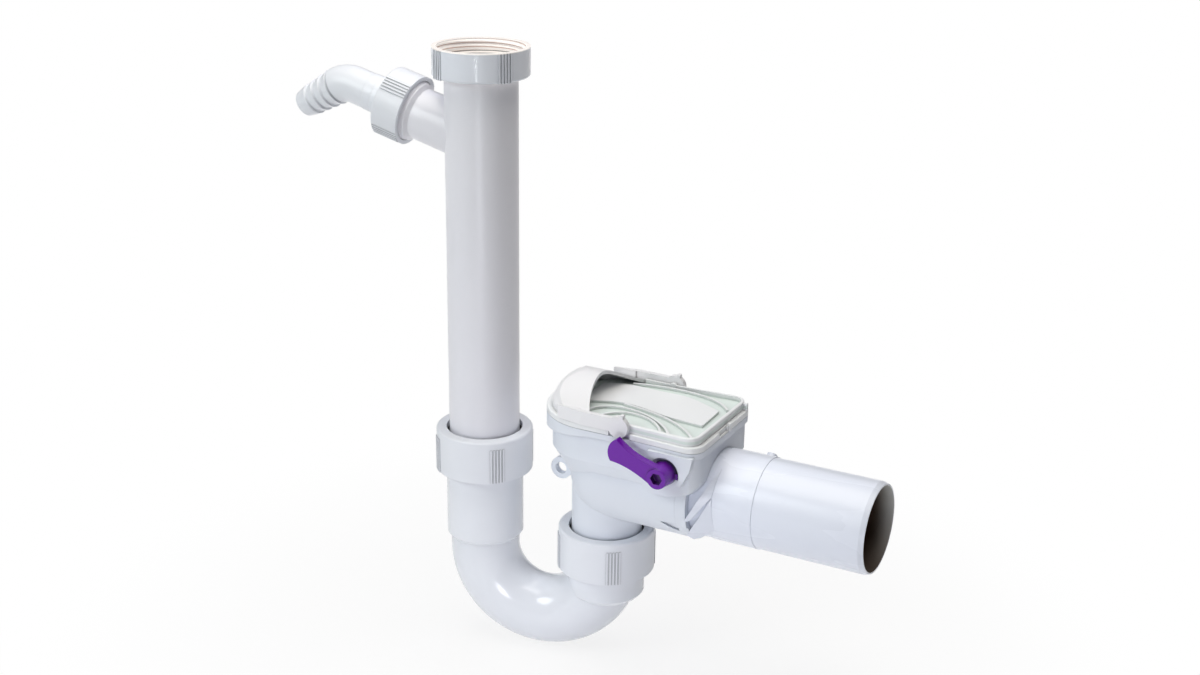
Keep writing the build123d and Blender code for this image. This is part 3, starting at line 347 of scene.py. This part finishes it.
# The shut-off spindle and its closing finger: a grey acetal shaft through the head, sealed by a rubber
# ring in a groove where it leaves the housing.
ACETAL_GREY = (188, 192, 198)
coat(moulded("spindle_plastic", ACETAL_GREY, shade=10, rough=0.32, grain=0.1),
     "lever_spindle", "closing_cam")
coat(seal_rubber, "spindle_seal")

# The shut-off lever: a glossy purple moulding pressed on to the end of the spindle. Its waisted arm
# ends in a fanned thumb plate, and the hexagonal recess in the hub takes a key.
LEVER_PURPLE = (112, 6, 168)
LEVER_EDGE = 0.0006
# Painted shade that reaches deep enough to darken the hub's hexagonal recess almost to black.
RECESS_SHADE = (0.006, 0.08, 1.3)  # a crease that reaches far enough to darken the recess
coat(moulded("lever_plastic", LEVER_PURPLE, shade=12, rough=0.22, grain=0.16, edge=LEVER_EDGE,
             crease_shade=RECESS_SHADE), "lever")

# The inspection cover: a white moulding with a raised rim, a broad band and four bowed ribs. Its floor
# between them has a faint green painted shade. It is held down on its black gasket by the bail alone,
# with no screw.
RIB_WHITE = (240, 242, 243)
FLOOR_SHADE_GREEN = (224, 234, 230)
FLOOR_SHADE = 6
LID_ROUGH = 0.38
FLOOR_HEIGHT = 0.0407
FLOOR_DEPTH = 0.0012
RIB_RISE = 0.001
LID_EDGE = 0.0003
# Painted shade in the cover's creases, along its ribs and joints.
LID_CREASE_SHADE = (0.003, 0.5, 0.7)
coat(seal_rubber, "cover_seal")
lid = Finish("cover_plastic")
level = lid.part(lid.place(), "Z")
raised = lid.rise(level, FLOOR_HEIGHT, FLOOR_HEIGHT + RIB_RISE)
below = level < FLOOR_HEIGHT - FLOOR_DEPTH
lid_flow = lid.noise(scale=60.0, detail=3.0)
# The floor between the rim, band and ribs gets a greenish painted shade, darker than the ribs.
shaded_floor = lid.mottled(lid_flow, FLOOR_SHADE_GREEN, FLOOR_SHADE)
lid_skin = lid.noise(GRAIN_SCALE, GRAIN_DETAIL) + lid_flow
coat(lid.plastic(MILKY, {
    "Base Color": lid.crease_shaded(lid.blend(raised + below, shaded_floor, linear(*RIB_WHITE)), *LID_CREASE_SHADE),
    "Roughness": LID_ROUGH + (lid_flow - 0.5) * FLOW_SHEEN,
    "Normal": lid.relief(strength=0.16, depth=GRAIN_DEPTH, height=lid_skin, edge=LID_EDGE),
}), "cover")

# The locking bail: a warmer white moulding whose hood snaps down over the round end of the head. It
# turns on two pins of the cover, and is springy enough to be sprung over them.
BAIL_WHITE = (240, 240, 242)
coat(moulded("bail_plastic", BAIL_WHITE, shade=6, rough=0.42, grain=0.15), "locking_bail")

# The outlet pipe: a bluish-white pipe moulded with hooks that spring over the housing's bead and pushed
# on to a rubber ring. Inside its mouth it has a dark brown painted shade, which painted daylight greys
# towards the mouth and upward.
PIPE_WHITE = (234, 239, 250)
PIPE_SHADE = 5
PIPE_ROUGH = 0.26
DRAWN_DULLER = 0.03
BORE_DULLER = 0.25
BORE_SHADE_BROWN = (80, 62, 50)
BORE_DAYLIT = (205, 207, 203)
BORE_R = 0.0233
DAYLIGHT_IN = -0.012        # the daylight dies away this far inside the mouth, which is at 0
DAYLIGHT_OUT = 0.001
DAYLIGHT_HIGH = 0.004       # and is full from this height over the pipe's axis
DAYLIGHT_LOW = 0.1          # the share of it that reaches the bottom of the mouth
# Painted shade in the pipe's creases, at its hooks and steps.
PIPE_CREASE_SHADE = (0.001, 0.8, 0.7)
PIPE_EDGE = 0.00008
GLOSSY_MILK = 0.05
coat(seal_rubber, "outlet_seal")
pipe = Finish("pipe_plastic")
along, sideways, height = [pipe.part(pipe.place(), side) for side in "XYZ"]
# The bore inside the mouth, which gets the painted shade.
in_bore = (sideways * sideways + height * height) ** 0.5 < BORE_R
drawn = pipe.noise(scale=40.0, detail=3.0, stretch=(0.15, 1.0, 1.0))
fine_line = pipe.noise(scale=400.0, detail=2.0, stretch=(0.02, 1.0, 1.0))
# Painted daylight: lighter towards the mouth and towards the top of the bore.
daylight = pipe.rise(along, DAYLIGHT_IN, DAYLIGHT_OUT)
upward = pipe.node("ShaderNodeMapRange", {}, {
    "Value": height, "From Min": -BORE_R, "From Max": DAYLIGHT_HIGH, "To Min": DAYLIGHT_LOW}, "Result")
bore_shade = pipe.blend(daylight * upward, linear(*BORE_SHADE_BROWN), linear(*BORE_DAYLIT))
outside = pipe.mottled(drawn, PIPE_WHITE, PIPE_SHADE)
coat(pipe.plastic(GLOSSY_MILK, {
    "Base Color": pipe.crease_shaded(pipe.blend(in_bore, outside, bore_shade), *PIPE_CREASE_SHADE),
    "Roughness": PIPE_ROUGH + drawn * DRAWN_DULLER + in_bore * BORE_DULLER,
    "Normal": pipe.relief(strength=0.05, depth=0.0001, height=fine_line, edge=PIPE_EDGE),
}), "outlet_pipe")

# The U-bend: one glossy white moulding with a socket at each end. The seam of its two mould halves runs
# all round it in the plane of its two legs.
BEND_WHITE = (236, 239, 245)
BEND_SHADE = 6
BEND_ROUGH = 0.13
SUNK_DULLER = 0.06
SUNK_HEIGHT = 0.5
PIMPLE_HEIGHT = 0.12
SEAM_HALF = 0.00018
SEAM_DULLER = 0.1
BEND_PLANE = (0.1805, -0.9836, 0.0)  # the way that the plane faces
BEND_OFFSET = -0.02888      # and how far along it the plane lies
BEND_EDGE = 0.0008
bend = Finish("bend_plastic")
across = bend.vector_maths("DOT_PRODUCT", {0: bend.place(), 1: BEND_PLANE}, "Value") - BEND_OFFSET
seam = bend.rise(abs(across), SEAM_HALF * 2, 0.0)
sunk = bend.noise(scale=26.0, detail=2.0)
pimples = bend.noise(scale=1300.0, detail=2.0)
bend_skin = seam + pimples * PIMPLE_HEIGHT + sunk * SUNK_HEIGHT
# The bend's colour takes painted shade in its creases.
coat(bend.plastic(GLOSSY_MILK, {
    "Base Color": bend.crease_shaded(bend.mottled(sunk, BEND_WHITE, BEND_SHADE), *CREASE_SHADE),
    "Roughness": BEND_ROUGH + sunk * SUNK_DULLER + seam * SEAM_DULLER,
    "Normal": bend.relief(strength=0.3, depth=0.00012, height=bend_skin, edge=BEND_EDGE),
}), "trap_bend")

# The two compression joints of the bend: a tapered black ring that each ribbed union nut squeezes
# between the tube and the socket. The nuts are mouldings with a satin grain.
NUT_WHITE = (233, 236, 242)
NUT_EDGE = 0.00014
# Painted shade in the grooves between the nuts' ribs.
RIB_GROOVE_SHADE = (0.0016, 0.4, 1.4)
coat(seal_rubber, "inlet_wedge_seal", "outlet_wedge_seal")
nut_plastic = moulded("nut_plastic", NUT_WHITE, shade=6, rough=0.4, grain=0.16, edge=NUT_EDGE,
                      crease_shade=RIB_GROOVE_SHADE)
coat(nut_plastic, "inlet_trap_nut", "outlet_trap_nut")

# The inlet leg: a long smooth tube with a flanged top and a side branch, one moulding. The flow of the
# plastic left very faint streaks along it.
TUBE_WHITE = (232, 232, 238)
TUBE_SHADE = 5
TUBE_ROUGH = 0.3
TUBE_SKIN = 0.8
STREAK_SHEEN = 0.08
UP_THE_TUBE = (1.0, 1.0, 0.04)
tube = Finish("tube_plastic")
streaks = tube.noise(scale=180.0, detail=3.0, stretch=UP_THE_TUBE)
cloudy = tube.noise(scale=12.0, detail=3.0)
tube_skin = streaks + tube.noise(scale=1300.0, detail=2.0) * TUBE_SKIN
coat(tube.plastic(MILKY, {
    "Base Color": tube.mottled(cloudy, TUBE_WHITE, TUBE_SHADE),
    "Roughness": TUBE_ROUGH + (streaks - 0.5) * STREAK_SHEEN,
    "Normal": tube.relief(strength=0.1, depth=0.00006, height=tube_skin, edge=SOFT_EDGE),
}), "tailpiece")

# The union nut at the inlet, which screws up on to the sink's waste against a flat pale washer: a
# glossier ribbed moulding. Its mouth, thread and the top of its rim get a warm white painted glow, which
# stands for daylight through its wall, and painted shadow lines under the thread's turns.
TOP_NUT_WHITE = (231, 235, 243)
TOP_NUT_SHADE = 6
TOP_NUT_ROUGH = 0.15
PATCH_DULLER = 0.06
MOUTH_WARM = (247, 242, 238)
MOUTH_DULLER = 0.2
LEG_AXIS = (-0.232883, -0.013377, 0.0)
MOUTH_R = 0.0242
MOUTH_LIGHT = 0.26          # the glow that stands for the daylight through the wall
# Above this height the rim's top edge takes the mouth's colour and painted glow, as a painted highlight.
RIM_HEIGHT = 0.2313
THREAD_PITCH = 0.0023
THREAD_START = 0.22575
# Painted shadow lines under each turn of the thread.
GROOVE_SHADOW_BROWN = (186, 156, 146)
GROOVE_PHASE = 0.66         # the groove's shadow, in turns above the ridge's middle
GROOVE_HALF = 0.24
WASHER_WHITE = (236, 232, 228)
coat(moulded("washer_plastic", WASHER_WHITE, shade=6, rough=0.5, grain=0.2), "inlet_washer")
top_nut = Finish("top_nut_plastic")
from_axis = top_nut.vector_maths("SUBTRACT", {0: top_nut.place(), 1: LEG_AXIS})
east, north, up = [top_nut.part(from_axis, side) for side in "XYZ"]
within = (east * east + north * north) ** 0.5 < MOUTH_R
lit_rim = up > RIM_HEIGHT
bright = top_nut.maths("MAXIMUM", within, lit_rim)
turned = top_nut.maths("ARCTAN2", north, east) / (2 * math.pi)
phase = top_nut.maths("FRACT", (up - THREAD_START) / THREAD_PITCH - turned + 0.5)
groove_shadow = top_nut.rise(abs(phase - GROOVE_PHASE), GROOVE_HALF, 0.0)
threaded = up > THREAD_START - THREAD_PITCH / 2
mouth = top_nut.blend(groove_shadow * threaded * (1 - lit_rim), linear(*MOUTH_WARM), linear(*GROOVE_SHADOW_BROWN))
patch = top_nut.noise(scale=30.0, detail=2.0)
nut_outside = top_nut.mottled(patch, TOP_NUT_WHITE, TOP_NUT_SHADE)
top_nut_plastic = top_nut.plastic(MILKY, {
    "Base Color": top_nut.crease_shaded(top_nut.blend(bright, nut_outside, mouth), *RIB_GROOVE_SHADE),
    "Roughness": TOP_NUT_ROUGH + patch * PATCH_DULLER + within * MOUTH_DULLER,
    "Normal": top_nut.relief(strength=0.15, depth=0.0001, height=patch, edge=NUT_EDGE),
    "Emission Color": top_nut.blend(bright, BLACK, mouth),
    "Emission Strength": MOUTH_LIGHT,
})
coat(top_nut_plastic, "inlet_nut")

# The thread in that nut's mouth: a rounded ridge moulded in one with the nut, which winds up the wall
# for two turns and fades out at both ends.
THREAD_R = 0.02398
THREAD_ROOT = 0.0002        # how far it is rooted in the wall
THREAD_DEPTH = 0.0010
THREAD_FOOT = 0.00085
THREAD_CREST = 0.00030
THREAD_TURNS = 2.1
THREAD_STEPS = 190
THREAD_FADE = 18
ridge = bmesh.new()
corners = [(THREAD_R + THREAD_ROOT, -THREAD_FOOT), (THREAD_R, -THREAD_FOOT),
           (THREAD_R - THREAD_DEPTH, -THREAD_CREST), (THREAD_R - THREAD_DEPTH, THREAD_CREST),
           (THREAD_R, THREAD_FOOT), (THREAD_R + THREAD_ROOT, THREAD_FOOT)]
start = [ridge.verts.new((LEG_AXIS[0] - r, LEG_AXIS[1], THREAD_START + z)) for r, z in corners]
outline = [ridge.edges.new((start[i], start[(i + 1) % len(start)])) for i in range(len(start))]
bmesh.ops.spin(ridge, geom=start + outline, cent=LEG_AXIS, axis=(0, 0, 1), steps=THREAD_STEPS,
               angle=2 * math.pi * THREAD_TURNS, dvec=(0, 0, THREAD_PITCH * THREAD_TURNS / THREAD_STEPS))
bmesh.ops.holes_fill(ridge, edges=[edge for edge in ridge.edges if edge.is_boundary], sides=len(corners))
for count, vert in enumerate(ridge.verts):
    step = count // len(corners)
    share = min(1.0, step / THREAD_FADE, (THREAD_STEPS - step) / THREAD_FADE)
    arm = Vector((vert.co.x - LEG_AXIS[0], vert.co.y - LEG_AXIS[1], 0))
    deep = THREAD_R - arm.length
    if deep > 0:
        vert.co += arm.normalized() * deep * (1 - share)
bmesh.ops.recalc_face_normals(ridge, faces=ridge.faces)
inlet_thread = bpy.data.objects.new("inlet_thread", bpy.data.meshes.new("inlet_thread"))
ridge.to_mesh(inlet_thread.data)
ridge.free()
bpy.context.collection.objects.link(inlet_thread)
for face in inlet_thread.data.polygons:
    face.use_smooth = True
inlet_thread.data.materials.append(top_nut_plastic)
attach(inlet_thread, "top_nut")

# The side branch's nut and the hose tail it holds: a small ribbed nut, a flat black washer, and an
# elbow moulded with four barbs that bite into a washing machine's drain hose.
NOZZLE_WHITE = (234, 237, 243)
coat(seal_rubber, "branch_washer")
coat(nut_plastic, "branch_nut")
coat(moulded("nozzle_plastic", NOZZLE_WHITE, shade=5, rough=0.34, grain=0.14, edge=LID_EDGE), "hose_nozzle")
